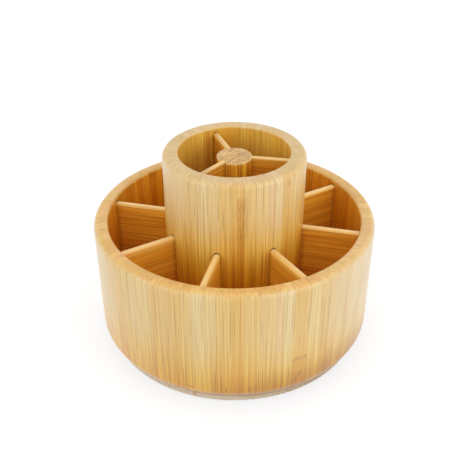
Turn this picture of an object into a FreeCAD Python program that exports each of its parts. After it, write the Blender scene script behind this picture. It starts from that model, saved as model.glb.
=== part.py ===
import FreeCAD, Part
import math
import os

# Rotating bamboo desk organiser: a round bin with eight outer cups round a taller three-part
# cup, on a ball bearing over a thin base disc.
# Millimetres, +Z up. The origin is on the desk, under the centre of the base.

# ---- Base disc and its rubber pads --------------------------------------------------------
base_diameter = 207.0
base_thickness = 5.0
base_edge_round = 1.2
pad_count = 4
pad_diameter = 14.0
pad_height = 1.5
pad_recess_depth = 0.5
pad_recess_gap = 0.2
pad_edge_inset = 4.0
pad_edge_round = 0.4
pad_first_angle = 45.0

# ---- Turntable bearing: two grooved rings with a row of caged balls between them -----------
bearing_diameter = 140.0
bearing_height = 8.0
ring_width = 11.0
ring_offset = 0.6
ring_edge_round = 0.5
race_gap = 2.0
ball_diameter = 4.0
ball_count = 20
ball_race_gap = 0.08
cage_thickness = 1.2
cage_height = 5.2
cage_pocket_gap = 0.1

# ---- Screws --------------------------------------------------------------------------------
screw_count = 4
screw_hole_gap = 0.05
screw_sink = 0.3
drive_slot_length = 3.4
drive_slot_width = 0.9
drive_slot_depth = 1.2
base_screw_diameter = 4.0
base_screw_length = 10.0
base_screw_head = 7.6
base_screw_head_depth = 2.2
base_screw_first_angle = 22.5
ring_screw_diameter = 3.5
ring_screw_length = 13.0
ring_screw_head = 6.4
ring_screw_head_depth = 1.8
ring_screw_point = 3.0
ring_screw_first_angle = 0.0

# ---- Drum: the round outer wall and the floor glued inside it -------------------------------
drum_diameter = 220.0
drum_wall_thickness = 11.0
drum_rim_round = 4.5
drum_lip_round = 3.0
drum_foot_round = 9.5
drum_foot_flat = 0.3
drum_base_gap = 2.0
outer_cup_depth = 82.5
floor_thickness = 8.0
floor_glue_gap = 0.1
wall_rebate = 1.2

# ---- Taller centre tube ----------------------------------------------------------------------
tube_diameter = 109.0
tube_wall_thickness = 12.0
tube_rim_round = 4.5
tube_lip_round = 1.6
centre_cup_depth = 136.0

# ---- Outer dividers, from the tube to the drum wall -------------------------------------------
outer_divider_count = 8
outer_divider_first_angle = -13.5
outer_divider_thickness = 5.5
outer_divider_drop = 5.0
outer_divider_top_round = 2.5
tube_slot_depth = 4.0
slot_side_gap = 0.1
slot_end_gap = 0.2
slot_top_gap = 1.0

# ---- Inner dividers and the post that they meet at ----------------------------------------------
inner_divider_count = 3
inner_divider_first_angle = -9.5
inner_divider_thickness = 4.6
inner_divider_drop = 4.5
inner_divider_top_round = 1.4
tube_groove_depth = 2.5
post_diameter = 27.0
post_edge_round = 1.2
post_groove_depth = 2.0

# ---- Heights and radii that follow ---------------------------------------------------------------
base_bottom = pad_height - pad_recess_depth
base_top = base_bottom + base_thickness
floor_bottom = base_top + bearing_height
floor_top = floor_bottom + floor_thickness
drum_bottom = base_top + drum_base_gap
drum_top = floor_top + outer_cup_depth
tube_top = floor_top + centre_cup_depth
outer_divider_top = drum_top - outer_divider_drop
inner_divider_top = tube_top - inner_divider_drop

base_radius = base_diameter / 2
pad_circle_radius = base_radius - pad_edge_inset - pad_diameter / 2
drum_radius = drum_diameter / 2
drum_inner_radius = drum_radius - drum_wall_thickness
rebate_radius = drum_inner_radius + wall_rebate
floor_radius = rebate_radius - floor_glue_gap
tube_radius = tube_diameter / 2
tube_inner_radius = tube_radius - tube_wall_thickness
post_radius = post_diameter / 2

outer_ring_radius = bearing_diameter / 2
outer_ring_bore = outer_ring_radius - ring_width
inner_ring_radius = outer_ring_bore - race_gap
inner_ring_bore = inner_ring_radius - ring_width
ball_circle_radius = inner_ring_radius + race_gap / 2
ball_level = base_top + bearing_height / 2
race_radius = ball_diameter / 2 + ball_race_gap
base_screw_circle = inner_ring_bore + ring_width / 2
ring_screw_circle = outer_ring_bore + ring_width / 2
base_screw_head_level = base_bottom + screw_sink
ring_screw_head_level = base_top + ring_offset + screw_sink

axis_point = FreeCAD.Vector(0, 0, 0)
axis_up = FreeCAD.Vector(0, 0, 1)


def spread(count, first_angle):
    """Angles of count equal places round the axis."""
    return [first_angle + 360.0 * k / count for k in range(count)]


def turned(shape, angle):
    """A copy of a shape, turned about the axis."""
    copy = shape.copy()
    copy.rotate(axis_point, axis_up, angle)
    return copy


def ring_of(shape, count, first_angle):
    """Copies of a shape at equal places round the axis, as one compound."""
    return Part.makeCompound([turned(shape, angle) for angle in spread(count, first_angle)])


def rounded_wire(corners):
    """A closed wire in the XZ plane through (x, z, round) corners, each with a tangent arc of its round."""
    points = [FreeCAD.Vector(x, 0, z) for x, z, _ in corners]
    ends = []
    edges = []
    for k, (corner, (_, _, radius)) in enumerate(zip(points, corners)):
        before = (points[k - 1] - corner).normalize()
        after = (points[(k + 1) % len(points)] - corner).normalize()
        if radius == 0:
            ends.append((corner, corner))
            continue
        half_angle = before.getAngle(after) / 2
        reach = radius / math.tan(half_angle)
        bisector = (before + after).normalize()
        arc_middle = corner + bisector * (radius / math.sin(half_angle) - radius)
        ends.append((corner + before * reach, corner + after * reach))
        edges.append(Part.Arc(ends[-1][0], arc_middle, ends[-1][1]).toShape())
    for k, (start, _) in enumerate(ends):
        leave = ends[k - 1][1]
        if leave.distanceToPoint(start) > 1e-6:
            edges.append(Part.LineSegment(leave, start).toShape())
    return Part.Wire(Part.__sortEdges__(edges))


def turned_solid(corners):
    """The solid that a rounded outline of (radius, height, round) corners sweeps round the axis."""
    return Part.Face(rounded_wire(corners)).revolve(axis_point, axis_up, 360)


def radial_bar(inner, outer, bottom, top, width, top_round):
    """A bar along +X from inner to outer radius, with its two long top edges rounded."""
    half = width / 2
    bar_round = min(top_round, half - 0.01)
    outline = rounded_wire([(-half, bottom, 0), (half, bottom, 0), (half, top, bar_round), (-half, top, bar_round)])
    outline.rotate(axis_point, axis_up, 90)
    outline.translate(FreeCAD.Vector(inner, 0, 0))
    return Part.Face(outline).extrude(FreeCAD.Vector(outer - inner, 0, 0))


def arched_slot(inner, outer, bottom, divider_top, divider_thickness):
    """The cut that a round-ended router leaves for one divider: half-round at the top."""
    width = divider_thickness + 2 * slot_side_gap
    return radial_bar(inner, outer, bottom, divider_top + slot_top_gap, width, width / 2)


def screw(radius, head_radius, head_depth, length, point_length, gap):
    """A countersunk screw pointing up from the origin, grown by gap all over for its own hole."""
    corners = [(0, 0, 0), (head_radius + gap, 0, 0), (radius + gap, head_depth, 0)]
    if point_length > 0:
        corners += [(radius + gap, length - point_length, 0), (radius / 4, length + gap, 0)]
    else:
        corners += [(radius + gap, length + gap, 0)]
    corners += [(0, length + gap, 0)]
    return turned_solid(corners)


def drive_recess():
    """The crossed slots in a screw head, open at z = 0."""
    bar = Part.makeBox(drive_slot_length, drive_slot_width, 2 * drive_slot_depth)
    bar.translate(FreeCAD.Vector(-drive_slot_length / 2, -drive_slot_width / 2, -drive_slot_depth))
    return bar.fuse(turned(bar, 90))


def base_screw(gap):
    return screw(base_screw_diameter / 2, base_screw_head / 2, base_screw_head_depth,
                 base_screw_length, 0, gap)


def ring_screw(gap):
    return screw(ring_screw_diameter / 2, ring_screw_head / 2, ring_screw_head_depth,
                 ring_screw_length, ring_screw_point, gap)


def screw_mouth(head_radius, gap):
    """The short straight hole that lets a screw head lie below the surface."""
    return Part.makeCylinder(head_radius + gap, 2 * screw_sink, FreeCAD.Vector(0, 0, -2 * screw_sink))


def placed(shape, radius, level):
    return shape.translated(FreeCAD.Vector(radius, 0, level))


def base_screw_holes():
    hole = base_screw(screw_hole_gap).fuse(screw_mouth(base_screw_head / 2, screw_hole_gap))
    return ring_of(placed(hole, base_screw_circle, base_screw_head_level), screw_count, base_screw_first_angle)


def ring_screw_holes():
    hole = ring_screw(screw_hole_gap).fuse(screw_mouth(ring_screw_head / 2, screw_hole_gap))
    return ring_of(placed(hole, ring_screw_circle, ring_screw_head_level), screw_count, ring_screw_first_angle)


def make_base_disc():
    disc = turned_solid([(0, base_bottom, 0), (base_radius, base_bottom, base_edge_round),
                         (base_radius, base_top, base_edge_round), (0, base_top, 0)])
    recess = Part.makeCylinder(pad_diameter / 2 + pad_recess_gap, 2 * pad_recess_depth)
    recess = placed(recess, pad_circle_radius, base_bottom - pad_recess_depth)
    disc = disc.cut(ring_of(recess, pad_count, pad_first_angle))
    return disc.cut(base_screw_holes())


def make_foot_pad(angle):
    radius = pad_diameter / 2
    pad = turned_solid([(0, 0, 0), (radius, 0, pad_edge_round), (radius, pad_height, 0), (0, pad_height, 0)])
    return turned(placed(pad, pad_circle_radius, 0), angle)


def race():
    """The round groove path of the balls, shared by both rings."""
    return Part.makeTorus(ball_circle_radius, race_radius, FreeCAD.Vector(0, 0, ball_level))


def bearing_ring(bore, radius, bottom, top):
    ring = turned_solid([(bore, bottom, ring_edge_round), (radius, bottom, ring_edge_round),
                         (radius, top, ring_edge_round), (bore, top, ring_edge_round)])
    return ring.cut(race())


def make_inner_ring():
    ring = bearing_ring(inner_ring_bore, inner_ring_radius, base_top, floor_bottom - ring_offset)
    return ring.cut(base_screw_holes())


def make_outer_ring():
    ring = bearing_ring(outer_ring_bore, outer_ring_radius, base_top + ring_offset, floor_bottom)
    return ring.cut(ring_screw_holes())


def make_ball_cage():
    bottom = ball_level - cage_height / 2
    bore = ball_circle_radius - cage_thickness / 2
    radius = ball_circle_radius + cage_thickness / 2
    cage = turned_solid([(bore, bottom, 0), (radius, bottom, 0),
                         (radius, bottom + cage_height, 0), (bore, bottom + cage_height, 0)])
    pocket = Part.makeCylinder(ball_diameter / 2 + cage_pocket_gap, 2 * race_gap,
                               FreeCAD.Vector(ball_circle_radius - race_gap, 0, ball_level),
                               FreeCAD.Vector(1, 0, 0))
    return cage.cut(ring_of(pocket, ball_count, 0))


def make_bearing_balls():
    ball = Part.makeSphere(ball_diameter / 2, FreeCAD.Vector(ball_circle_radius, 0, ball_level))
    return ring_of(ball, ball_count, 0)


def make_base_screws():
    one = base_screw(0).cut(drive_recess())
    return ring_of(placed(one, base_screw_circle, base_screw_head_level), screw_count, base_screw_first_angle)


def make_ring_screws():
    one = ring_screw(0).cut(drive_recess())
    return ring_of(placed(one, ring_screw_circle, ring_screw_head_level), screw_count, ring_screw_first_angle)


def make_drum_wall():
    foot_round = min(drum_foot_round, drum_wall_thickness - wall_rebate - drum_foot_flat)
    wall = turned_solid([(rebate_radius, drum_bottom, 0),
                         (drum_radius, drum_bottom, foot_round),
                         (drum_radius, drum_top, drum_rim_round),
                         (drum_inner_radius, drum_top, drum_lip_round),
                         (drum_inner_radius, floor_top, 0),
                         (rebate_radius, floor_top, 0)])
    groove = arched_slot(tube_radius, rebate_radius, floor_bottom, outer_divider_top, outer_divider_thickness)
    return wall.cut(ring_of(groove, outer_divider_count, outer_divider_first_angle))


def make_floor_panel():
    panel = turned_solid([(0, floor_bottom, 0), (floor_radius, floor_bottom, 0),
                          (floor_radius, floor_top, 0), (0, floor_top, 0)])
    return panel.cut(ring_screw_holes())


def make_centre_tube():
    tube = turned_solid([(tube_inner_radius, floor_top, 0), (tube_radius, floor_top, 0),
                         (tube_radius, tube_top, tube_rim_round), (tube_inner_radius, tube_top, tube_lip_round)])
    slot = arched_slot(tube_radius - tube_slot_depth, drum_radius, floor_bottom,
                       outer_divider_top, outer_divider_thickness)
    groove = arched_slot(0, tube_inner_radius + tube_groove_depth, floor_bottom,
                         inner_divider_top, inner_divider_thickness)
    tube = tube.cut(ring_of(slot, outer_divider_count, outer_divider_first_angle))
    return tube.cut(ring_of(groove, inner_divider_count, inner_divider_first_angle))


def make_outer_divider(angle):
    inner = tube_radius - tube_slot_depth + slot_end_gap
    outer = rebate_radius - slot_end_gap
    bar = radial_bar(inner, outer, floor_top, outer_divider_top, outer_divider_thickness,
                     outer_divider_top_round)
    return turned(bar, angle)


def make_centre_post():
    post = turned_solid([(0, floor_top, 0), (post_radius, floor_top, 0),
                         (post_radius, inner_divider_top, post_edge_round), (0, inner_divider_top, 0)])
    width = inner_divider_thickness + 2 * slot_side_gap
    groove = radial_bar(post_radius - post_groove_depth, tube_radius, floor_bottom, tube_top, width, 0)
    return post.cut(ring_of(groove, inner_divider_count, inner_divider_first_angle))


def make_inner_divider(angle):
    inner = post_radius - post_groove_depth + slot_end_gap
    outer = tube_inner_radius + tube_groove_depth - slot_end_gap
    bar = radial_bar(inner, outer, floor_top, inner_divider_top, inner_divider_thickness,
                     inner_divider_top_round)
    return turned(bar, angle)


os.makedirs("parts", exist_ok=True)

parts = {
    "base_disc": make_base_disc(),
    "bearing_inner_ring": make_inner_ring(),
    "bearing_outer_ring": make_outer_ring(),
    "ball_cage": make_ball_cage(),
    "bearing_balls": make_bearing_balls(),
    "base_screws": make_base_screws(),
    "ring_screws": make_ring_screws(),
    "floor_panel": make_floor_panel(),
    "drum_wall": make_drum_wall(),
    "centre_tube": make_centre_tube(),
    "centre_post": make_centre_post(),
}
for number, angle in enumerate(spread(pad_count, pad_first_angle), 1):
    parts[f"foot_pad_{number}"] = make_foot_pad(angle)
for number, angle in enumerate(spread(outer_divider_count, outer_divider_first_angle), 1):
    parts[f"outer_divider_{number}"] = make_outer_divider(angle)
for number, angle in enumerate(spread(inner_divider_count, inner_divider_first_angle), 1):
    parts[f"inner_divider_{number}"] = make_inner_divider(angle)

for name, shape in parts.items():
    shape.exportStep(f"parts/{name}.step")
    box = shape.BoundBox
    print(f"{name:20s} solids {len(shape.Solids):2d} valid {shape.isValid()} volume {shape.Volume / 1000:8.2f} cm3 "
          f"z {box.ZMin:6.2f} to {box.ZMax:6.2f}")
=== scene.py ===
import math

import bmesh
import bpy
import numpy as np
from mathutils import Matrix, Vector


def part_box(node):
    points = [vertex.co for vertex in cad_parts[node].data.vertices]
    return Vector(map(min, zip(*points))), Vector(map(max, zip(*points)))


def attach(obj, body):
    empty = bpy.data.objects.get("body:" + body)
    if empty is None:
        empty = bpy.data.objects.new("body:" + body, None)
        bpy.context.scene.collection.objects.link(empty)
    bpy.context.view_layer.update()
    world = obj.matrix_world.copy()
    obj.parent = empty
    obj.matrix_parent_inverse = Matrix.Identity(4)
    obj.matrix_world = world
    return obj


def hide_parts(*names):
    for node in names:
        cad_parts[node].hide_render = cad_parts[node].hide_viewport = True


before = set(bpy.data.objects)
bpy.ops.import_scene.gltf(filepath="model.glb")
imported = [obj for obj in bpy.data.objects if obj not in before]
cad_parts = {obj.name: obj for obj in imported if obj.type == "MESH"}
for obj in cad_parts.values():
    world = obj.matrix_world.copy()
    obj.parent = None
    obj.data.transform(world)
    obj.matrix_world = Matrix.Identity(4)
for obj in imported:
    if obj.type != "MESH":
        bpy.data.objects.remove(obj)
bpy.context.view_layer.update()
mm = 0.001
mergeDistance = 0.001 * mm


def reach(node, lowest=-1.0, highest=1.0):
    # smallest and largest distance from the axis over a node's points between two heights
    points = np.array([v.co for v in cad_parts[node].data.vertices])
    points = points[(points[:, 2] >= lowest) & (points[:, 2] <= highest)]
    spans = np.hypot(points[:, 0], points[:, 1])
    return float(spans.min()), float(spans.max())


edgeBand = 0.1 * mm       # height over an edge in which its points are read
plainRim = 20 * mm        # the part of the tube above its dividers' slots
floorBottom, floorTop = (corner.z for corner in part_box("floor_panel"))
wallBottom, wallTop = (corner.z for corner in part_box("drum_wall"))
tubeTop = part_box("centre_tube")[1].z
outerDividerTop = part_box("outer_divider_1")[1].z
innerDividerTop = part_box("inner_divider_1")[1].z
wallInner, wallRadius = reach("drum_wall")
rebateRadius = reach("drum_wall", highest=wallBottom + edgeBand)[0]
tubeInner, tubeRadius = reach("centre_tube", lowest=tubeTop - plainRim)
postRadius = reach("centre_post", highest=floorTop + edgeBand)[1]
outerTop, innerTop = outerDividerTop / mm, innerDividerTop / mm    # in mm, for the bamboo's looks
print("frame read: drum radius", round(wallRadius, 4), "tube radius", round(tubeRadius, 4))


# helpers for node trees
def addNode(tree, kind, links=None, **settings):
    # one node, its properties by name, and its sockets by name or number: a value, or a socket to link
    node = tree.nodes.new(kind)
    for name, value in settings.items():
        setattr(node, name, value)
    for key, value in (links or {}).items():
        target = node.inputs[key]
        if isinstance(value, bpy.types.NodeSocket):
            tree.links.new(value, target)
        else:
            target.default_value = value
    return node


def calc(tree, operation, a, b=0.0, c=0.0):
    return addNode(tree, "ShaderNodeMath", {0: a, 1: b, 2: c}, operation=operation).outputs[0]


def vector(tree, x=0.0, y=0.0, z=0.0):
    return addNode(tree, "ShaderNodeCombineXYZ", {0: x, 1: y, 2: z}).outputs[0]


def parts(tree, place):
    return addNode(tree, "ShaderNodeSeparateXYZ", {0: place}).outputs


def scaled(tree, place, factor):
    return addNode(tree, "ShaderNodeVectorMath", {0: place, "Scale": factor}, operation="SCALE").outputs[0]


def newShapeTree(name, sizes):
    # a Geometry Nodes tree with a geometry socket and one named input per size
    tree = bpy.data.node_groups.new(name, "GeometryNodeTree")
    tree.interface.new_socket("Geometry", in_out="INPUT", socket_type="NodeSocketGeometry")
    for label, value in sizes.items():
        kind = "NodeSocketInt" if isinstance(value, int) else "NodeSocketFloat"
        tree.interface.new_socket(label, in_out="INPUT", socket_type=kind).default_value = value
    tree.interface.new_socket("Material", in_out="INPUT", socket_type="NodeSocketMaterial")
    tree.interface.new_socket("Geometry", in_out="OUTPUT", socket_type="NodeSocketGeometry")
    source = tree.nodes.new("NodeGroupInput")
    return tree, source.outputs


def finishShape(tree, geometry, material):
    solid = addNode(tree, "GeometryNodeRealizeInstances", {0: geometry}).outputs[0]
    dressed = addNode(tree, "GeometryNodeSetMaterial", {"Geometry": solid, "Material": material}).outputs[0]
    addNode(tree, "NodeGroupOutput", {0: dressed})


def roundedCurve(tree, curve, steps, radius):
    return addNode(tree, "GeometryNodeFilletCurve", {"Curve": curve, "Count": steps, "Radius": radius},
                   mode="POLY").outputs[0]


def merged(tree, geometry):
    return addNode(tree, "GeometryNodeMergeByDistance",
                   {"Geometry": geometry, "Distance": mergeDistance}).outputs[0]


def shapeFrom(name, start, tree, sizes, material):
    # runs a tree on a starting mesh and returns the plain mesh object that comes out
    holder = bpy.data.objects.new(name + "Holder", start)
    bpy.context.scene.collection.objects.link(holder)
    modifier = holder.modifiers.new("shape", "NODES")
    modifier.node_group = tree
    values = {**sizes, "Material": material}
    for item in tree.interface.items_tree:
        if item.item_type == "SOCKET" and item.in_out == "INPUT" and item.name in values:
            modifier[item.identifier] = values[item.name]
    graph = bpy.context.evaluated_depsgraph_get()
    mesh = bpy.data.meshes.new_from_object(holder.evaluated_get(graph), depsgraph=graph)
    bpy.data.objects.remove(holder)
    mesh.name = name
    piece = bpy.data.objects.new(name, mesh)
    bpy.context.scene.collection.objects.link(piece)
    return piece


def cleanMesh(piece, sharpAngle=35):
    # closes seams and poles, points the faces outwards and shades smooth up to an edge angle in degrees
    work = bmesh.new()
    work.from_mesh(piece.data)
    bmesh.ops.remove_doubles(work, verts=work.verts, dist=2 * mergeDistance)
    bmesh.ops.dissolve_degenerate(work, edges=work.edges, dist=mergeDistance)
    bmesh.ops.recalc_face_normals(work, faces=work.faces)
    work.to_mesh(piece.data)
    work.free()
    piece.data.shade_smooth()
    piece.data.set_sharp_from_angle(angle=math.radians(sharpAngle))


def outlineMesh(name, corners):
    # a closed outline of (x, z, round) corners, the round kept as an attribute for Fillet Curve
    mesh = bpy.data.meshes.new(name)
    count = len(corners)
    mesh.from_pydata([(x, 0, z) for x, z, _ in corners], [(k, (k + 1) % count) for k in range(count)], [])
    rounds = mesh.attributes.new("round", "FLOAT", "POINT")
    rounds.data.foreach_set("value", [corner[2] for corner in corners])
    return mesh


barSizes = {"Inner": 0.0, "Outer": 0.1, "Bottom": 0.0, "Top": 0.1, "Width": 0.006, "Round": 0.002}


def archedBarTree():
    # a bar along +X with its two long top edges rounded: a divider, or the cutter of its slot
    tree, size = newShapeTree("archedBar", {**barSizes, "Round Steps": 10, "Angle": 0.0})
    height = calc(tree, "SUBTRACT", size["Top"], size["Bottom"])
    frameCurve = addNode(tree, "GeometryNodeCurvePrimitiveQuadrilateral",
                         {"Width": size["Width"], "Height": height}).outputs[0]
    place = addNode(tree, "GeometryNodeInputPosition").outputs[0]
    isTop = calc(tree, "GREATER_THAN", parts(tree, place)[1], 0.0)
    radius = calc(tree, "MULTIPLY", isTop, size["Round"])
    rounded = roundedCurve(tree, frameCurve, size["Round Steps"], radius)
    endFace = addNode(tree, "GeometryNodeFillCurve", {"Curve": rounded}, mode="NGONS").outputs[0]
    middle = calc(tree, "ADD", size["Bottom"], calc(tree, "MULTIPLY", height, 0.5))
    standing = addNode(tree, "GeometryNodeTransform",
                       {"Geometry": endFace, "Translation": vector(tree, size["Inner"], 0.0, middle),
                        "Rotation": (math.pi / 2, 0, math.pi / 2)}).outputs[0]
    length = calc(tree, "SUBTRACT", size["Outer"], size["Inner"])
    pulled = addNode(tree, "GeometryNodeExtrudeMesh",
                     {"Mesh": standing, "Offset": vector(tree, length), "Individual": False},
                     mode="FACES").outputs[0]
    closing = addNode(tree, "GeometryNodeFlipFaces", {"Mesh": standing}).outputs[0]
    joined = addNode(tree, "GeometryNodeJoinGeometry")
    tree.links.new(pulled, joined.inputs[0])
    tree.links.new(closing, joined.inputs[0])
    turned = addNode(tree, "GeometryNodeTransform",
                     {"Geometry": merged(tree, joined.outputs[0]),
                      "Rotation": vector(tree, 0.0, 0.0, size["Angle"])}).outputs[0]
    finishShape(tree, turned, size["Material"])
    return tree


archedBar = archedBarTree()


def slotCutters(tree, sizes):
    # copies of the arched bar at equal angles round the axis; sizes are sockets by the bar's input names
    bar = addNode(tree, "GeometryNodeGroup", node_tree=archedBar)
    for name in barSizes:
        tree.links.new(sizes[name], bar.inputs[name])
    spots = addNode(tree, "GeometryNodePoints", {"Count": sizes["Count"]}).outputs[0]
    number = addNode(tree, "GeometryNodeInputIndex").outputs[0]
    step = calc(tree, "DIVIDE", math.tau, sizes["Count"])
    angle = calc(tree, "MULTIPLY_ADD", number, step, sizes["First Angle"])
    turn = addNode(tree, "FunctionNodeAxisAngleToRotation", {"Axis": (0, 0, 1), "Angle": angle}).outputs[0]
    copies = addNode(tree, "GeometryNodeInstanceOnPoints",
                     {"Points": spots, "Instance": bar.outputs[0], "Rotation": turn}).outputs[0]
    return addNode(tree, "GeometryNodeRealizeInstances", {0: copies}).outputs[0]


def sweptOutline(tree, outline, stepsAround):
    # the surface that a closed curve in the XZ plane sweeps round the axis
    pointCount = addNode(tree, "GeometryNodeAttributeDomainSize", {0: outline},
                         component="CURVE").outputs["Point Count"]
    across = calc(tree, "ADD", stepsAround, 1.0)
    grid = addNode(tree, "GeometryNodeMeshGrid", {"Vertices X": calc(tree, "ADD", pointCount, 1.0),
                                                  "Vertices Y": across}).outputs[0]
    number = addNode(tree, "GeometryNodeInputIndex").outputs[0]
    midNumber = calc(tree, "ADD", number, 0.5)      # so that rounding can't slip a row
    row = calc(tree, "FLOOR", calc(tree, "DIVIDE", midNumber, across))
    column = calc(tree, "SUBTRACT", number, calc(tree, "MULTIPLY", row, across))
    outlinePlace = addNode(tree, "GeometryNodeInputPosition").outputs[0]
    outlineRow = calc(tree, "MODULO", row, pointCount)
    sample = addNode(tree, "GeometryNodeSampleIndex",
                     {"Geometry": outline, "Value": outlinePlace, "Index": outlineRow},
                     data_type="FLOAT_VECTOR", domain="POINT").outputs[0]
    span, _, height = parts(tree, sample)
    angle = calc(tree, "MULTIPLY", calc(tree, "DIVIDE", column, stepsAround), math.tau)
    swept = vector(tree, calc(tree, "MULTIPLY", span, calc(tree, "COSINE", angle)),
                   calc(tree, "MULTIPLY", span, calc(tree, "SINE", angle)), height)
    body = addNode(tree, "GeometryNodeSetPosition", {"Geometry": grid, "Position": swept}).outputs[0]
    return merged(tree, body)


def turnedTree(name, cutNames):
    # a body turned on a lathe from its outline, with a set of slots cut for each of cutNames
    cutSet = {**barSizes, "Count": 8, "First Angle": 0.0}
    sizes = {"Steps Around": 288, "Round Steps": 12}
    for cut in cutNames:
        sizes.update({f"{cut} {label}": value for label, value in cutSet.items()})
    tree, size = newShapeTree(name, sizes)
    outline = addNode(tree, "GeometryNodeMeshToCurve", {"Mesh": size["Geometry"]}).outputs[0]
    radius = addNode(tree, "GeometryNodeInputNamedAttribute", {"Name": "round"},
                     data_type="FLOAT").outputs[0]
    rounded = roundedCurve(tree, outline, size["Round Steps"], radius)
    body = sweptOutline(tree, rounded, size["Steps Around"])
    for cut in cutNames:
        cutters = slotCutters(tree, {label: size[f"{cut} {label}"] for label in cutSet})
        body = addNode(tree, "GeometryNodeMeshBoolean", {"Mesh 1": body, "Mesh 2": cutters},
                       operation="DIFFERENCE", solver="MANIFOLD").outputs[0]
    finishShape(tree, body, size["Material"])
    return tree


def markGrain(piece, cut, angle=0.0):
    # keeps with each corner its place in the wood, (along, across, depth) in metres, and the fibres' way
    mesh = piece.data
    corners = np.empty(len(mesh.loops), np.int32)
    mesh.loops.foreach_get("vertex_index", corners)
    points = np.empty(len(mesh.vertices) * 3)
    mesh.vertices.foreach_get("co", points)
    points = points.reshape(-1, 3)[corners]
    run = (0.0, 0.0, 1.0)
    if cut == "staves":       # upright strips side by side round the axis
        faceSizes = [face.loop_total for face in mesh.polygons]
        centres = np.repeat([face.center for face in mesh.polygons], faceSizes, axis=0)
        middle = np.arctan2(centres[:, 0], -centres[:, 1])
        own = np.arctan2(points[:, 0], -points[:, 1])
        own = middle + (own - middle + math.pi) % math.tau - math.pi
        span = np.hypot(points[:, 0], points[:, 1])
        grain = np.stack([points[:, 2], own * span.max(), span], 1)
    elif cut == "block":      # upright strips side by side in a straight row
        side = (math.cos(angle), math.sin(angle), 0.0)
        front = (-math.sin(angle), math.cos(angle), 0.0)
        grain = np.stack([points[:, 2], points @ side, points @ front], 1)
    else:                     # a panel, its strips lying along it
        run = (math.cos(angle), math.sin(angle), 0.0)
        side = (-math.sin(angle), math.cos(angle), 0.0)
        ownDepth = 0.37 * angle      # so that no two panels show the same fibres
        grain = np.stack([points @ run, points[:, 2], points @ side + ownDepth], 1)
    for name, values in (("grain", grain.ravel()), ("fibre", np.tile(run, len(corners)))):
        mesh.attributes.new(name, "FLOAT_VECTOR", "CORNER").data.foreach_set("vector", values)


# bamboo
def colourRamp(tree, value, stops):
    ramp = addNode(tree, "ShaderNodeValToRGB", {0: value})
    marks = ramp.color_ramp.elements
    while len(marks) < len(stops):
        marks.new(0.5)
    for mark, (place, colour) in zip(marks, stops):
        mark.position = place
        mark.color = (*colour, 1)
    return ramp.outputs[0]


def mixed(tree, amount, first, second, blend="MIX"):
    node = addNode(tree, "ShaderNodeMix", data_type="RGBA", blend_type=blend)
    for socket, value in ((node.inputs[0], amount), (node.inputs[6], first), (node.inputs[7], second)):
        if isinstance(value, bpy.types.NodeSocket):
            tree.links.new(value, socket)
        else:
            socket.default_value = (*value, 1) if isinstance(value, tuple) else value
    return node.outputs[2]


def smooth(tree, value, low, high):
    return addNode(tree, "ShaderNodeMapRange", {0: value, 1: low, 2: high},
                   interpolation_type="SMOOTHSTEP").outputs[0]


def noise(tree, place, detail=2.0, rough=0.5):
    return addNode(tree, "ShaderNodeTexNoise", {"Vector": place, "Scale": 1.0, "Detail": detail,
                                                "Roughness": rough}).outputs[0]


# what may differ from one bamboo material to the next; lengths in mm, and amounts from 0 to 1
bambooLook = {
    "stripWidth": 8.5,    # one lamination
    "stripJitter": 0.85,  # how unequal the strips are
    "fibreContrast": 0.28,
    "seamDark": 0.5,
    "nodeDark": 0.6,
    "nodeSpacing": 800.0,  # the range in which a strip's culm node may lie
    "roughness": 0.45,
    "tones": [(0.0, (0.82, 0.63, 0.31)), (0.2, (0.79, 0.51, 0.15)), (0.4, (0.80, 0.60, 0.28)),
              (0.6, (0.79, 0.49, 0.135)), (0.8, (0.82, 0.58, 0.28)), (1.0, (0.80, 0.57, 0.19))],
    "endTone": (0.76, 0.40, 0.08),
    "endTones": [(0.0, (0.90, 0.57, 0.20)), (0.35, (0.74, 0.40, 0.07)), (0.7, (0.86, 0.50, 0.15)),
                 (1.0, (0.68, 0.35, 0.06))],
    "obliqueDark": 0.15,  # how much darker a rounded edge is, where it cuts the fibres at a slant
    "darkStrip": None,    # one darker, knotty strip: its sides round from the front, and its heights
    "marks": [],          # brown flecks: (round from the front, height, half width, half height)
    "rayWidth": 1.5,      # between the dark rays of the end grain
    "rayDark": 0.28,
    "endFacing": (0.74, 0.94),  # how squarely a face cuts the fibres where end grain starts and is full
    "shadeTint": (0.97, 0.56, 0.05),  # what the wood is multiplied by where the painted shade is full
    "shadeStrips": 0.4,    # how much the strips differ in darkness under the painted shade
    "paintedShade": [],           # painted shade: (coordinate, where it starts, where it is full, amount)
    "inside": None,       # (radius, rim height, amount): painted shade on a round piece's inner face, below its lip
    "slots": None,        # (radius where the slots open, radius where they end): painted shadow on the slot walls
    "ends": None,         # (inner end, outer end, top) of a divider: painted shade beside its ends, and painted shadow on its part within the slots
    "slotShadowDark": 0.9,      # how dark the painted shadow is on the part of a divider within its slots
    "foot": None,         # (along where it starts, where it is full, tint): painted shade over the foot or one side
    "footSide": None,     # (round from the front, half width): the only part where that painted shade falls
    "sideways": None,     # (round from the front, half width, tone, amount): a painted sheen, lighter strips on the side of a piece that catches the light
}

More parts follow.
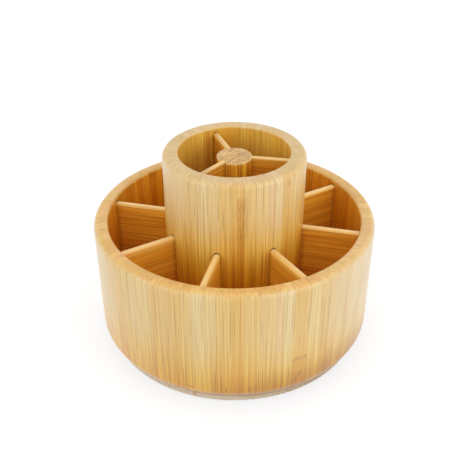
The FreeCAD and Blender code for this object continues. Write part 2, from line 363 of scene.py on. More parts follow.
# what all bamboo shares, with lengths in mm
bambooGrain = {
    # noise waves per mm along and across the fibres, and levels of detail
    "streak": (0.005, 0.30, 1.0), "line": (0.007, 0.62, 1.0), "fine": (0.012, 1.15, 1.0),
    "vessel": (0.020, 0.95, 0.0),
    "depthShare": 0.2,    # their waves per mm of depth, as a part of those across
    "streakWeight": 0.9, "lineWeight": 1.2, "fineWeight": 4.2, "leanWeight": 0.8,
    "channelShares": (0.6, 1.0, 1.7),  # how much a fibre darkens red, green and blue
    "shadeContrast": 2.5,  # how much more the fibres show under the painted shade
    "stripShift": 97.0,   # how far apart two strips may lie in the noises
    # the other noises: waves per mm, and the slice that is taken
    "seamFade": (0.05, 3.0),      # along, slice
    "blotch": (0.17, 0.9),        # along, across
    "patch": (0.035, 0.09, 9.0),  # across, in depth, slice
    "rays": (0.24, 5.0),          # in depth for a rayWidth of 1 mm, slice
    "seamWidth": 0.28, "seamCore": 0.2,
    "nodeWidth": 1.3, "haloWidth": 4.0, "haloShift": 3.0, "nodeBow": 6.0,
    "markBow": 0.4,       # the part of nodeBow that bends a fleck
    "nodesBelow": 0.3,    # the part of nodeSpacing that lies below height 0
    # the last value on the next line is how much of the painted sheen shows on end grain
    "bundlesPerMm": 1.5, "bundleJitter": 0.9, "endToneShare": 0.3, "endSheen": 0.45,
    "fade": 0.3,          # the part of a half width that is at full strength
    "coatWeight": 0.8, "coatRoughness": 0.38, "fibreRoughness": 0.14, "endRoughness": 0.08,
    "relief": 0.12 * mm, "reliefStrength": 0.35,
    "fibreRelief": 0.25, "seamPit": 0.8, "vesselPit": 0.3, "bundlePit": 0.5,
}
bambooStains = {
    # colour and amount of each thing laid over the strips
    "darkStrip": ((0.65, 0.35, 0.075), 0.85), "blotch": ((0.48, 0.22, 0.04), 0.75),
    "vessel": ((0.45, 0.22, 0.05), 0.6), "nodeHalo": ((0.60, 0.36, 0.11), 0.35),
    "bundle": ((0.42, 0.18, 0.03), 0.35), "endSeam": ((0.28, 0.11, 0.02), 0.7),
    # the last two are painted shadow in the slots and painted shade beside the dividers' ends
    "slot": ((0.16, 0.06, 0.012), 0.85), "endShade": ((0.30, 0.09, 0.005), 0.38),
}
bambooTones = {
    # colours whose amount a look or a mask decides
    "node": (0.34, 0.14, 0.03), "seam": (0.34, 0.15, 0.04), "ray": (0.37, 0.17, 0.03),
    # the dark colour for a divider's part within its slot is a painted shadow
    "oblique": (0.40, 0.20, 0.03), "inSlotShade": (0.10, 0.035, 0.008), "endPatch": (0.95, 1.01, 0.90),
}
# where a noise or a mask starts to count and where it counts in full
bambooLimits = {
    "seamFade": (0.4, 0.62), "blotch": (0.53, 0.63), "vessel": (0.66, 0.76), "nodeFibre": (0.36, 0.60),
    "bundle": (0.16, 0.42), "squareCut": (0.93, 0.99), "rays": (0.46, 0.60), "patch": (0.42, 0.62),
    "oblique": (0.05, 0.6), "flat": (0.99, 1.0),
}
# the same for masks beside an edge, as distances past it in mm
bambooEdges = {
    "before": (0.1, -0.1), "after": (-0.1, 0.1), "innerFace": (3.0, 0.3), "underLip": (0.3, -3.2),
    "slotOpening": (0.3, 1.2), "slotEnd": (0.0, -1.0), "slotTop": (4.0, 3.0),
    "innerEnd": (4.0, 0.5), "outerEnd": (-4.5, -0.5), "panelTop": (-1.0, -3.0),
}


class BambooTree:
    # the node tree of one bamboo material: each lay method adds a layer to self.colour
    def __init__(self, name, fromObject, look):
        self.look = look
        self.material = bpy.data.materials.new(name)
        self.material.use_nodes = True
        self.tree = tree = self.material.node_tree
        self.shader = tree.nodes["Principled BSDF"]
        if fromObject:
            place = addNode(tree, "ShaderNodeTexCoord").outputs["Object"]
            run = vector(tree, 1.0, 0.0, 0.0)
        else:
            place = addNode(tree, "ShaderNodeAttribute", attribute_name="grain").outputs["Vector"]
            run = addNode(tree, "ShaderNodeAttribute", attribute_name="fibre").outputs["Vector"]
        self.along, self.across, self.depth = parts(tree, scaled(tree, place, 1 / mm))
        worldNormal = addNode(tree, "ShaderNodeNewGeometry").outputs["Normal"]
        ownNormal = addNode(tree, "ShaderNodeVectorTransform", {0: worldNormal}, vector_type="NORMAL",
                            convert_from="WORLD", convert_to="OBJECT").outputs[0]
        facing = addNode(tree, "ShaderNodeVectorMath", {0: ownNormal, 1: run}, operation="DOT_PRODUCT")
        self.facing = self.maths("ABSOLUTE", facing.outputs["Value"])
        self.endGrain = self.smooth(self.facing, *look["endFacing"])
        self.paintedShadeMask = self.makePaintedShadeMask()

    def maths(self, operation, *values):
        return calc(self.tree, operation, *values)

    def less(self, value, part):
        return self.maths("SUBTRACT", value, part)

    def times(self, *factors):
        product = factors[0]
        for factor in factors[1:]:
            product = self.maths("MULTIPLY", product, factor)
        return product

    def smooth(self, value, low, high):
        return smooth(self.tree, value, low, high)

    def limited(self, value, name):
        return self.smooth(value, *bambooLimits[name])

    def past(self, value, edge, name, way=1.0):
        # a mask beside an edge; way is -1 where the mask's distances count downwards
        start, full = bambooEdges[name]
        return self.smooth(value, edge + way * start, edge + way * full)

    def bell(self, *offsets):
        # 1 where all the offsets are 0, and falling away from there
        squares = 0.0
        for offset in offsets:
            squares = self.maths("MULTIPLY_ADD", offset, offset, squares)
        return self.maths("EXPONENT", self.times(squares, -1.0))

    def near(self, middle, halfWidth):
        # 1 round the middle of a part of the girth, and 0 beyond its half width
        away = self.maths("ABSOLUTE", self.less(self.across, middle))
        return self.smooth(away, halfWidth, bambooGrain["fade"] * halfWidth)

    def noise(self, x, y, z=0.0, detail=1.0, rough=0.5):
        return noise(self.tree, vector(self.tree, x, y, z), detail, rough)

    def lay(self, amount, colour, blend="MIX"):
        self.colour = mixed(self.tree, amount, self.colour, colour, blend)

    def stain(self, mask, name):
        colour, amount = bambooStains[name]
        self.lay(self.times(mask, amount), colour)

    def makePaintedShadeMask(self):
        # painted shade: a deeper amber down in the cups and towards the foot
        coordinates = {"along": self.along, "across": self.across, "depth": self.depth}
        mask = 0.0
        for coordinate, start, full, amount in self.look["paintedShade"]:
            part = self.times(self.smooth(coordinates[coordinate], start, full), amount)
            mask = self.maths("MAXIMUM", mask, part)
        if self.look["inside"]:
            radius, rim, amount = self.look["inside"]
            part = self.times(self.past(self.depth, radius, "innerFace"),
                              self.past(self.along, rim, "underLip"), amount)
            mask = self.maths("MAXIMUM", mask, part)
        return mask

    def layStrips(self):
        # a random colour for each strip, denser towards one side, and the distance to its glue seam
        width = self.look["stripWidth"]
        stripPlace = self.maths("DIVIDE", self.across, width)
        sizes = {"W": stripPlace, "Scale": 1.0, "Randomness": self.look["stripJitter"]}
        cells = addNode(self.tree, "ShaderNodeTexVoronoi", sizes, voronoi_dimensions="1D")
        edge = addNode(self.tree, "ShaderNodeTexVoronoi", sizes, voronoi_dimensions="1D",
                       feature="DISTANCE_TO_EDGE").outputs["Distance"]
        self.dice = addNode(self.tree, "ShaderNodeSeparateColor", {0: cells.outputs["Color"]}).outputs
        self.shift = self.times(self.dice[0], bambooGrain["stripShift"])   # so that no two are alike
        self.lean = self.times(self.less(self.dice[2], 0.5), self.less(stripPlace, cells.outputs["W"]))
        seamWidth = bambooGrain["seamWidth"] / width
        seam = self.less(1.0, self.smooth(edge, bambooGrain["seamCore"] * seamWidth, seamWidth))
        lengthwise, cutAt = bambooGrain["seamFade"]
        seamFade = self.noise(self.times(self.along, lengthwise), self.shift, cutAt)
        self.seam = self.times(seam, self.limited(seamFade, "seamFade"))
        self.colour = colourRamp(self.tree, self.dice[0], self.look["tones"])

    def layDarkStrip(self):
        # one darker strip, below the rim only, with knotty blotches in a belt of its height
        strip = self.look["darkStrip"]
        inStrip = self.times(self.past(self.across, strip["from"], "after"),
                             self.past(self.across, strip["to"], "before"))
        lengthwise, crosswise = bambooGrain["blotch"]
        blotch = self.noise(self.times(self.along, lengthwise), self.times(self.across, crosswise))
        belt = self.times(self.smooth(self.along, *strip["beltFoot"]),
                          self.smooth(self.along, *strip["beltTop"]))
        self.stain(self.times(inStrip, self.smooth(self.along, *strip["top"])), "darkStrip")
        self.stain(self.times(inStrip, self.limited(blotch, "blotch"), belt), "blotch")

    def layPaintedSheen(self):
        # a painted sheen: lighter strips on one side of the piece
        middle, halfWidth, self.paleTone, amount = self.look["sideways"]
        self.paintedSheen = self.times(self.near(middle, halfWidth), amount)
        self.lay(self.paintedSheen, self.paleTone)

    def fibreNoise(self, name):
        lengthwise, crosswise, detail = bambooGrain[name]
        return self.noise(self.times(self.along, lengthwise),
                          self.maths("MULTIPLY_ADD", self.across, crosswise, self.shift),
                          self.times(self.depth, bambooGrain["depthShare"] * crosswise), detail, rough=0.6)

    def layFibres(self):
        # streaks, lines and finer lines, each darkening blue most and red least, and short dark vessels
        self.streak = self.fibreNoise("streak")
        self.fine = self.fibreNoise("fine")
        layers = {"streak": self.streak, "line": self.fibreNoise("line"), "fine": self.fine}
        self.fibreTone = self.times(self.lean, bambooGrain["leanWeight"])
        for name, layer in layers.items():
            weight = bambooGrain[f"{name}Weight"]
            self.fibreTone = self.maths("MULTIPLY_ADD", self.less(layer, 0.5), weight, self.fibreTone)
        # the painted shade also brings out the fibres and the strips' differences more
        shadeContrast = self.maths("MULTIPLY_ADD", self.paintedShadeMask, bambooGrain["shadeContrast"], 1.0)
        lighter = self.times(self.fibreTone, self.look["fibreContrast"], shadeContrast)
        stripTone = self.times(self.less(self.dice[1], 0.5), self.look["shadeStrips"])
        lighter = self.maths("MULTIPLY_ADD", stripTone, self.paintedShadeMask, lighter)
        tint = [self.maths("MULTIPLY_ADD", lighter, share, 1.0) for share in bambooGrain["channelShares"]]
        self.lay(1.0, vector(self.tree, *tint), "MULTIPLY")
        self.vessel = self.limited(self.fibreNoise("vessel"), "vessel")
        self.stain(self.vessel, "vessel")

    def layNodes(self):
        # culm nodes: one at a random height in some strips, dark at its middle and broken by the fibres
        spacing = self.look["nodeSpacing"]
        height = self.maths("MULTIPLY_ADD", self.dice[1], spacing, -bambooGrain["nodesBelow"] * spacing)
        bow = self.times(self.less(self.streak, 0.5), bambooGrain["nodeBow"])
        offset = self.maths("ADD", self.less(self.along, height), bow)
        band = self.bell(self.maths("DIVIDE", offset, bambooGrain["nodeWidth"]))
        band = self.times(band, self.limited(self.fine, "nodeFibre"))
        haloOffset = self.maths("ADD", offset, bambooGrain["haloShift"])
        halo = self.bell(self.maths("DIVIDE", haloOffset, bambooGrain["haloWidth"]))
        for markAcross, markHeight, halfWidth, halfHeight in self.look["marks"]:
            sideways = self.maths("DIVIDE", self.less(self.across, markAcross), halfWidth)
            upward = self.less(self.along, markHeight)
            upward = self.maths("MULTIPLY_ADD", bow, bambooGrain["markBow"], upward)
            upward = self.maths("DIVIDE", upward, halfHeight)
            band = self.maths("MAXIMUM", band, self.bell(sideways, upward))
        self.stain(halo, "nodeHalo")
        self.lay(self.times(band, self.look["nodeDark"]), bambooTones["node"])
        self.lay(self.times(self.seam, self.look["seamDark"]), bambooTones["seam"])

    def layEndGrain(self):
        # a stipple of fibre bundles on each strip's own tone, crossed by dark rays and the seams
        tree, rayWidth = self.tree, self.look["rayWidth"]
        strips = self.colour
        self.colour = colourRamp(tree, self.dice[0], self.look["endTones"])
        self.lay(bambooGrain["endToneShare"], self.look["endTone"])
        # the painted sheen shows on end grain as well
        if self.look["sideways"]:
            self.lay(self.times(self.paintedSheen, bambooGrain["endSheen"]), self.paleTone)
        crosswise, inDepth, cutAt = bambooGrain["patch"]
        patch = self.noise(self.times(self.across, crosswise), self.times(self.depth, inDepth), cutAt)
        self.lay(self.limited(patch, "patch"), bambooTones["endPatch"], "MULTIPLY")
        bundle = addNode(tree, "ShaderNodeTexVoronoi",
                         {"Vector": vector(tree, self.across, self.depth),
                          "Scale": bambooGrain["bundlesPerMm"], "Randomness": bambooGrain["bundleJitter"]},
                         voronoi_dimensions="2D").outputs["Distance"]
        dots = self.less(1.0, self.limited(bundle, "bundle"))
        self.dots = self.times(dots, self.limited(self.facing, "squareCut"))
        self.stain(self.dots, "bundle")
        inDepth, cutAt = bambooGrain["rays"]
        rays = self.noise(self.maths("MULTIPLY_ADD", self.across, 1 / rayWidth, self.shift),
                          self.times(self.depth, inDepth / rayWidth), cutAt, detail=3.0, rough=0.6)
        self.lay(self.times(self.limited(rays, "rays"), self.look["rayDark"]), bambooTones["ray"])
        self.stain(self.seam, "endSeam")
        ends, self.colour = self.colour, strips
        slant = self.times(self.limited(self.facing, "oblique"), self.look["obliqueDark"])
        self.lay(slant, bambooTones["oblique"])
        self.lay(self.endGrain, ends)

    def layPaintedShade(self):
        # painted shade, in which the blue goes first, so that half-shaded wood is golden
        early = self.times(self.paintedShadeMask, self.less(2.0, self.paintedShadeMask))
        channels = zip((self.paintedShadeMask, self.paintedShadeMask, early), self.look["shadeTint"])
        tint = [self.maths("MULTIPLY_ADD", mask, share - 1.0, 1.0) for mask, share in channels]
        self.lay(1.0, vector(self.tree, *tint), "MULTIPLY")

    def layPaintedSlotShade(self):
        # painted shadow on the walls of the slots that the outer dividers stand in
        opening, end = self.look["slots"]
        inward = math.copysign(1.0, end - opening)
        slotShade = self.times(self.past(self.depth, opening, "slotOpening", inward),
                            self.past(self.depth, end, "slotEnd", inward),
                            self.less(1.0, self.limited(self.facing, "flat")),
                            self.past(self.along, outerTop, "slotTop"))
        self.stain(slotShade, "slot")

    def layPaintedEndShade(self):
        # painted shade beside a divider's ends, and painted shadow on its part within the slots
        inner, outer, top = self.look["ends"]
        beside = self.maths("MAXIMUM", self.past(self.along, inner, "innerEnd"),
                            self.past(self.along, outer, "outerEnd"))
        inSlotShade = self.maths("MAXIMUM", self.past(self.along, inner, "before"),
                            self.past(self.along, outer, "after"))
        self.stain(self.times(beside, self.past(self.across, top, "panelTop")), "endShade")
        self.lay(self.times(inSlotShade, self.look["slotShadowDark"]), bambooTones["inSlotShade"])

    def layFootShade(self):
        # painted shade, darker towards the foot or one side
        start, full, tint = self.look["foot"]
        darker = self.smooth(self.along, start, full)
        if self.look["footSide"]:
            darker = self.times(darker, self.near(*self.look["footSide"]))
        self.lay(darker, tint, "MULTIPLY")

    def finish(self):
        # lacquer: rougher in the fibres and on end grain, with a faint relief of seams and vessels
        inputs, link = self.shader.inputs, self.tree.links.new
        link(self.colour, inputs["Base Color"])
        swing, rougher = bambooGrain["fibreRoughness"], bambooGrain["endRoughness"]
        roughness = self.maths("MULTIPLY_ADD", self.fine, swing, self.look["roughness"] - swing / 2)
        link(self.maths("MULTIPLY_ADD", self.endGrain, rougher, roughness), inputs["Roughness"])
        relief = self.times(self.fibreTone, bambooGrain["fibreRelief"])
        pits = {"seamPit": self.seam, "vesselPit": self.vessel,
                "bundlePit": self.times(self.dots, self.endGrain)}
        for name, mask in pits.items():
            relief = self.less(relief, self.times(mask, bambooGrain[name]))
        bump = addNode(self.tree, "ShaderNodeBump", {"Strength": bambooGrain["reliefStrength"],
                                                     "Distance": bambooGrain["relief"], "Height": relief})
        link(bump.outputs[0], inputs["Normal"])
        inputs["Coat Weight"].default_value = bambooGrain["coatWeight"]
        inputs["Coat Roughness"].default_value = bambooGrain["coatRoughness"]
        return self.material


def bambooMaterial(name, look, fromObject=False):
    # laminated bamboo: strips of differing tone, fibres, glue seams, culm nodes and stippled end grain,
    # with painted shade, painted shadow and a painted sheen where a look asks for them
    wood = BambooTree(name, fromObject, {**bambooLook, **look})
    layers = [   # in order, with the key that asks for a layer, or None where all bamboo has it
        (None, wood.layStrips), ("darkStrip", wood.layDarkStrip), ("sideways", wood.layPaintedSheen),
        (None, wood.layFibres), (None, wood.layNodes), (None, wood.layEndGrain),
        ("paintedShade", wood.layPaintedShade), ("slots", wood.layPaintedSlotShade), ("ends", wood.layPaintedEndShade),
        ("foot", wood.layFootShade)]
    for key, lay in layers:
        if key is None or wood.look[key]:
            lay()
    return wood.finish()


# what the wooden pieces share: two families of dividers, and how they sit in their neighbours
dividers = {
    "outer": {"count": 8, "firstAngle": -13.5, "thickness": 5.5 * mm, "topRound": 2.5 * mm,
              "seat": 4.0 * mm},
    "inner": {"count": 3, "firstAngle": -9.5, "thickness": 4.6 * mm, "topRound": 1.4 * mm,
              "seat": 2.5 * mm},
    "postSeat": 2.0 * mm, "sideGap": 0.1 * mm, "endGap": 0.2 * mm, "topGap": 1.0 * mm,
    "cutterOverlap": 8 * mm,      # how far a slot's cutter runs on into the open
    "roundSpare": 0.01 * mm,      # what a slot's round stays under half its width
    "roundSteps": 8,
}


def cutSizes(label, family, inner, outer, top):
    width = family["thickness"] + 2 * dividers["sideGap"]
    sizes = {"Inner": inner, "Outer": outer, "Bottom": floorBottom, "Top": top, "Width": width,
             "Round": width / 2 - dividers["roundSpare"], "Count": family["count"],
             "First Angle": math.radians(family["firstAngle"])}
    return {f"{label} {name}": value for name, value in sizes.items()}


# drum wall
drumWall = {
    "rimRound": 4.5 * mm, "lipRound": 3.0 * mm, "footRound": 9.5 * mm,
    "steps": {"Steps Around": 320, "Round Steps": 12},
    "look": {
        "stripWidth": 9.0, "fibreContrast": 0.15, "nodeSpacing": 1500.0, "endFacing": (0.55, 0.97),
        # painted shade deepening down the wall towards the foot and on its inner face, and painted shadow
        # in the slots
        "paintedShade": [("along", 70.0, -22.0, 1.0)], "inside": (wallInner / mm, wallTop / mm, 1.0),
        "slots": (wallInner / mm, wallRadius / mm - 4.0),
        # a painted sheen on the right-hand side, and painted shade at the foot, strongest right of the
        # front
        "sideways": (118.0, 80.0, (0.78, 0.62, 0.37), 0.5),
        "foot": (40.0, 14.0, (0.70, 0.57, 0.10)), "footSide": (72.0, 120.0),
        "marks": [(49.0, 25.0, 1.3, 2.3), (11.0, 18.5, 0.8, 2.8), (-33.0, 18.5, 3.0, 0.7),
                  (-6.0, 19.0, 0.7, 2.5), (47.0, 21.0, 0.9, 1.1)],
    },
}


def makeDrumWall():
    size = drumWall
    outline = outlineMesh("wallOutline", [
        (rebateRadius, wallBottom, 0), (wallRadius, wallBottom, size["footRound"]),
        (wallRadius, wallTop, size["rimRound"]), (wallInner, wallTop, size["lipRound"]),
        (wallInner, floorTop, 0), (rebateRadius, floorTop, 0)])
    cuts = cutSizes("Slot", dividers["outer"], wallInner - dividers["cutterOverlap"], rebateRadius,
                    outerDividerTop + dividers["topGap"])
    wall = shapeFrom("drumWallWood", outline, turnedTree("turnedWall", ["Slot"]),
                     {**size["steps"], **cuts}, bambooMaterial("wallBamboo", size["look"]))
    cleanMesh(wall)
    markGrain(wall, "staves")
    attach(wall, "drum")
    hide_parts("drum_wall")


# centre tube
centreTube = {
    "rimRound": 4.5 * mm, "lipRound": 1.6 * mm,
    "steps": {"Steps Around": 240, "Round Steps": 12},
    "look": {
        "stripWidth": 8.0, "fibreContrast": 0.12, "endFacing": (0.55, 0.97), "seamDark": 0.7,
        # painted shade down the tube and on its inner face, painted shadow in its slots, and a painted
        # sheen on its left-hand side
        "shadeTint": (1.0, 0.67, 0.072), "paintedShade": [("along", 134.0, 60.0, 1.0)],
        "inside": (tubeInner / mm, tubeTop / mm, 0.6), "slots": (tubeRadius / mm, tubeInner / mm + 4.0),
        "sideways": (-54.0, 30.0, (0.80, 0.61, 0.31), 0.6),
        "darkStrip": {"from": 1.9, "to": 7.9, "top": (150.0, 144.0), "beltFoot": (104.0, 114.0),
                      "beltTop": (150.0, 141.0)},
        "marks": [(44.0, 150.0, 1.0, 2.0), (-7.8, 128.0, 0.4, 9.0), (30.0, 112.0, 0.4, 8.0)],
        "endTone": (0.68, 0.455, 0.19),
        "endTones": [(0.0, (0.75, 0.54, 0.27)), (0.4, (0.68, 0.43, 0.15)), (0.7, (0.73, 0.50, 0.21)),
                     (1.0, (0.67, 0.43, 0.16))],
    },
}


def makeCentreTube():
    size = centreTube
    outline = outlineMesh("tubeOutline", [
        (tubeInner, floorTop, 0), (tubeRadius, floorTop, 0), (tubeRadius, tubeTop, size["rimRound"]),
        (tubeInner, tubeTop, size["lipRound"])])
    outer, inner = dividers["outer"], dividers["inner"]
    cuts = cutSizes("Slot", outer, tubeRadius - outer["seat"], tubeRadius + dividers["cutterOverlap"],
                    outerDividerTop + dividers["topGap"])
    cuts.update(cutSizes("Groove", inner, tubeInner - dividers["cutterOverlap"], tubeInner + inner["seat"],
                         innerDividerTop + dividers["topGap"]))
    tube = shapeFrom("centreTubeWood", outline, turnedTree("turnedTube", ["Slot", "Groove"]),
                     {**size["steps"], **cuts}, bambooMaterial("tubeBamboo", size["look"]))
    cleanMesh(tube)
    markGrain(tube, "staves")
    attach(tube, "drum")
    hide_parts("centre_tube")


# centre post
centrePost = {
    "topRound": 1.2 * mm, "grainAngle": -45,
    "steps": {"Steps Around": 96, "Round Steps": 8},
    "look": {
        # painted shade on the post below its top
        "stripWidth": 4.5, "rayWidth": 2.1, "rayDark": 0.9, "shadeTint": (0.82, 0.44, 0.03),
        "paintedShade": [("along", innerTop - 0.8, innerTop - 3.0, 0.85),
                 ("along", innerTop - 3.0, innerTop - 20.0, 1.0)],
        "endTone": (0.66, 0.35, 0.07), "endTones": [(0.0, (0.80, 0.49, 0.14)), (1.0, (0.58, 0.29, 0.045))],
    },
}


def makeCentrePost():
    size = centrePost
    outline = outlineMesh("postOutline", [
        (0, floorTop, 0), (postRadius, floorTop, 0), (postRadius, innerDividerTop, size["topRound"]),
        (0, innerDividerTop, 0)])
    cuts = cutSizes("Slot", dividers["inner"], postRadius - dividers["postSeat"],
                    postRadius + dividers["cutterOverlap"], tubeTop)
    cuts["Slot Round"] = 0.0
    post = shapeFrom("centrePostWood", outline, turnedTree("turnedPost", ["Slot"]),
                     {**size["steps"], **cuts}, bambooMaterial("postBamboo", size["look"]))
    cleanMesh(post)
    markGrain(post, "block", math.radians(size["grainAngle"]))
    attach(post, "drum")
    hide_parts("centre_post")


# dividers
outerPanelLook = {
    "stripWidth": 17.0, "fibreContrast": 0.14, "shadeTint": (0.97, 0.61, 0.09),
    "tones": [(0.0, (0.86, 0.575, 0.23)), (0.5, (0.85, 0.55, 0.20)), (1.0, (0.87, 0.60, 0.26))],
    # painted shade beside both ends, and painted shadow within the slots
    "ends": (tubeRadius / mm, wallInner / mm, outerTop),
}
# front and back dividers differ only in their painted shade: a half shade from just below the rounded top,
# a deeper one a few mm lower, and full shade down the faces
frontPanelLook = {
    **outerPanelLook,
    "paintedShade": [("across", outerTop - 0.15, outerTop - 1.3, 0.5),
             ("across", outerTop - 3.8, outerTop - 5.4, 0.85),
             ("across", outerTop - 6.0, outerTop - 40.0, 1.0)],
}
backPanelLook = {
    **outerPanelLook,
    "paintedShade": [("across", outerTop - 0.15, outerTop - 1.3, 0.55),
             ("across", outerTop - 1.5, outerTop - 4.0, 0.86),
             ("across", outerTop - 6.0, outerTop - 40.0, 1.0)],
}
innerPanelLook = {
    "stripWidth": 17.0, "fibreContrast": 0.15, "slotShadowDark": 0.0, "shadeTint": (0.86, 0.46, 0.04),
    "tones": [(0.0, (0.78, 0.49, 0.14)), (1.0, (0.76, 0.46, 0.12))],
    # painted shade beside the ends and down the faces from just below the top
    "ends": (postRadius / mm, tubeInner / mm, innerTop),
    "paintedShade": [("across", innerTop - 0.1, innerTop - 1.0, 0.6),
             ("across", innerTop - 3.0, innerTop - 6.0, 0.8),
             ("across", innerTop - 6.0, innerTop - 40.0, 1.0)],
}


def makeDividers(kind, inner, outer, top, woods):
    # woods holds one material for each divider, in their order round the axis
    family = dividers[kind]
    for number, wood in enumerate(woods):
        angle = math.radians(family["firstAngle"] + 360 / family["count"] * number)
        sizes = {"Inner": inner, "Outer": outer, "Bottom": floorTop, "Top": top,
                 "Width": family["thickness"], "Round": family["topRound"],
                 "Round Steps": dividers["roundSteps"], "Angle": angle}
        start = bpy.data.meshes.new("empty")
        panel = shapeFrom(f"{kind}DividerWood_{number + 1}", start, archedBar, sizes, wood)
        cleanMesh(panel)
        markGrain(panel, "panel", angle)
        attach(panel, "drum")
        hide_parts(f"{kind}_divider_{number + 1}")


makeDrumWall()
makeCentreTube()
makeCentrePost()
frontPanelBamboo = bambooMaterial("frontPanelBamboo", frontPanelLook)
backPanelBamboo = bambooMaterial("backPanelBamboo", backPanelLook)
innerPanelBamboo = bambooMaterial("innerPanelBamboo", innerPanelLook)
# the five back dividers and three front ones get the two copies that differ only in painted shade
makeDividers("outer", tubeRadius - dividers["outer"]["seat"] + dividers["endGap"],
             rebateRadius - dividers["endGap"], outerDividerTop,
             [backPanelBamboo] * 5 + [frontPanelBamboo] * 3)
makeDividers("inner", postRadius - dividers["postSeat"] + dividers["endGap"],
             tubeInner + dividers["inner"]["seat"] - dividers["endGap"], innerDividerTop,
             [innerPanelBamboo] * 3)
print("wooden pieces made")


# floor panel and base disc, which keep their CAD meshes
# painted shade over the whole floor panel, down in the cups
floorLook = {"stripWidth": 18.0, "shadeTint": (0.95, 0.62, 0.12), "paintedShade": [("depth", 40.0, 22.0, 1.0)]}
baseLook = {
    # painted shade on the base, darker towards its right-hand side
    "stripWidth": 18.0, "fibreContrast": 0.1, "rayDark": 0.15, "foot": (-20.0, 80.0, (0.62, 0.53, 0.37)),
    "tones": [(0.0, (0.74, 0.61, 0.43)), (0.5, (0.70, 0.56, 0.39)), (1.0, (0.72, 0.585, 0.41))],
    "endTone": (0.65, 0.515, 0.35), "endTones": [(0.0, (0.69, 0.555, 0.38)), (1.0, (0.63, 0.49, 0.33))],
}
floorBamboo = bambooMaterial("floorBamboo", floorLook, fromObject=True)
baseBamboo = bambooMaterial("baseBamboo", baseLook, fromObject=True)


# bearing, screws and pads
plainLook = {
    "metallic": 0.0,
    "scale": 400.0,       # noise waves per metre
    "turned": False,      # the noise follows rings round the axis, as tool marks do
    "ringFineness": 12.0,
    "relief": 0.0, "reliefStrength": 0.5,
    "colourLimits": (0.35, 0.65), "roughnessLimits": (0.3, 0.7),
    "roughnessShift": (7.0, 3.0, 5.0),    # how far the roughness's noise lies from the colour's
}


def turnedPlace(tree, place):
    # the distance from the axis and the height, both finer than the place itself
    x, y, z = parts(tree, place)
    flat = calc(tree, "SQRT", calc(tree, "MULTIPLY_ADD", x, x, calc(tree, "MULTIPLY", y, y)))
    fineness = plainLook["ringFineness"]
    return vector(tree, calc(tree, "MULTIPLY", flat, fineness), 0.0, calc(tree, "MULTIPLY", z, fineness))


def plainMaterial(name, colours, roughness, **look):
    # colours and roughness each run between two ends on their own noise
    look = {**plainLook, **look}
    material = bpy.data.materials.new(name)
    material.use_nodes = True
    tree = material.node_tree
    shader = tree.nodes["Principled BSDF"]
    place = addNode(tree, "ShaderNodeTexCoord").outputs["Object"]
    if look["turned"]:
        place = turnedPlace(tree, place)
    sized = scaled(tree, place, look["scale"])
    shifted = addNode(tree, "ShaderNodeVectorMath", {0: sized, 1: look["roughnessShift"]}).outputs[0]
    first, second = noise(tree, sized, 3.0), noise(tree, shifted, 2.0)
    colourMask = smooth(tree, first, *look["colourLimits"])
    roughnessMask = smooth(tree, second, *look["roughnessLimits"])
    low, high = roughness
    tree.links.new(mixed(tree, colourMask, *colours), shader.inputs["Base Color"])
    tree.links.new(calc(tree, "MULTIPLY_ADD", roughnessMask, high - low, low), shader.inputs["Roughness"])
    shader.inputs["Metallic"].default_value = look["metallic"]
    if look["relief"]:
        bump = addNode(tree, "ShaderNodeBump", {"Strength": look["reliefStrength"],
                                                "Distance": look["relief"], "Height": first})
        tree.links.new(bump.outputs[0], shader.inputs["Normal"])
    return material


turnedAluminium = plainMaterial("turnedAluminium", ((0.70, 0.71, 0.73), (0.80, 0.81, 0.82)),
                                (0.22, 0.36), metallic=1.0, turned=True, relief=0.02 * mm)
zincSteel = plainMaterial("zincSteel", ((0.50, 0.50, 0.51), (0.63, 0.63, 0.66)), (0.28, 0.42),
                          metallic=1.0, scale=900.0)
chromeSteel = plainMaterial("chromeSteel", ((0.78, 0.78, 0.80), (0.84, 0.84, 0.86)), (0.05, 0.14),
                            metallic=1.0, scale=700.0)
naturalNylon = plainMaterial("naturalNylon", ((0.72, 0.70, 0.62), (0.80, 0.78, 0.71)), (0.42, 0.55),
                             relief=0.02 * mm)
blackRubber = plainMaterial("blackRubber", ((0.012, 0.012, 0.013), (0.03, 0.03, 0.031)), (0.65, 0.85),
                            scale=1500.0, relief=0.05 * mm)

nodeMaterials = {
    "floor_panel": floorBamboo, "base_disc": baseBamboo, "bearing_inner_ring": turnedAluminium,
    "bearing_outer_ring": turnedAluminium, "ball_cage": naturalNylon, "bearing_balls": chromeSteel,
    "base_screws": zincSteel, "ring_screws": zincSteel,
    **{f"foot_pad_{number}": blackRubber for number in range(1, 5)},
}
for node, material in nodeMaterials.items():
    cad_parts[node].data.materials[0] = material
print("floor, base, bearing, screws and pads dressed")


# studio: white all round, on a floor that shows as white outside the shadow
studio = {
    "worldFill": 1.0, "floorWidth": 8,
    "floorBounce": 0.43,      # how much light the floor gives back to the object
    "floorSeen": (0.87, 0.895, 0.92),
    "floorLift": 0.62,        # the share of its own glow in the floor as the camera sees it
    "floorGlow": 1.12,
    "lampAim": (0, 0, 0.06),
    "lamps": {   # place, size in metres, watts
        "rightLamp": ((1.0, -0.7, 0.5), 1.0, 3.8),
        "leftLamp": ((-1.0, -0.7, 0.5), 1.0, 2.0),
    },
    "cameraPlace": (0.0005, -0.4841, 0.3956), "cameraPitch": 32.95, "lens": 54.70, "sensorWidth": 36,
}


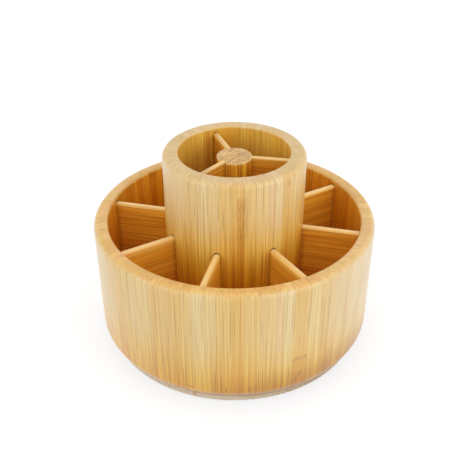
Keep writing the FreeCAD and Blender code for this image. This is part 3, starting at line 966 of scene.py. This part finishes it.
def makeWorld(scene):
    world = bpy.data.worlds.new("studio")
    world.use_nodes = True
    scene.world = world
    background = world.node_tree.nodes["Background"]
    background.inputs["Color"].default_value = (1, 1, 1, 1)
    background.inputs["Strength"].default_value = studio["worldFill"]


def makeFloor():
    bpy.ops.mesh.primitive_plane_add(size=studio["floorWidth"])
    floor = bpy.context.object
    floor.name = "studioFloor"
    floor.data.transform(floor.matrix_world)
    material = bpy.data.materials.new("studioFloor")
    material.use_nodes = True
    tree = material.node_tree
    tree.nodes.remove(tree.nodes["Principled BSDF"])
    path = addNode(tree, "ShaderNodeLightPath").outputs
    bounce = (studio["floorBounce"],) * 3
    white = mixed(tree, path["Is Camera Ray"], bounce, studio["floorSeen"])
    matt = addNode(tree, "ShaderNodeBsdfDiffuse", {"Color": white}).outputs[0]
    glow = addNode(tree, "ShaderNodeEmission",
                   {"Color": (1, 1, 1, 1), "Strength": studio["floorGlow"]}).outputs[0]
    lift = calc(tree, "MULTIPLY", path["Is Camera Ray"], studio["floorLift"])
    lift = calc(tree, "MAXIMUM", lift, path["Is Glossy Ray"])
    blend = addNode(tree, "ShaderNodeMixShader", {0: lift, 1: matt, 2: glow}).outputs[0]
    tree.links.new(blend, tree.nodes["Material Output"].inputs[0])
    floor.data.materials.append(material)


def makeLamps(scene):
    for name, (place, across, power) in studio["lamps"].items():
        data = bpy.data.lights.new(name, "AREA")
        data.size = across
        data.energy = power
        lamp = bpy.data.objects.new(name, data)
        lamp.location = place
        aim = np.array(studio["lampAim"]) - np.array(place)
        lamp.rotation_euler = (math.acos(-aim[2] / np.linalg.norm(aim)), 0,
                               math.atan2(aim[1], aim[0]) - math.pi / 2)
        scene.collection.objects.link(lamp)


def makeCamera(scene):
    camera = bpy.data.objects.new("camera", bpy.data.cameras.new("camera"))
    camera.data.lens = studio["lens"]
    camera.data.sensor_width = studio["sensorWidth"]
    camera.location = studio["cameraPlace"]
    camera.rotation_euler = (math.radians(90 - studio["cameraPitch"]), 0, 0)
    scene.collection.objects.link(camera)
    scene.camera = camera


bpy.context.scene.view_settings.view_transform = "Standard"
makeWorld(bpy.context.scene)
makeFloor()
makeLamps(bpy.context.scene)
makeCamera(bpy.context.scene)
print("studio made")
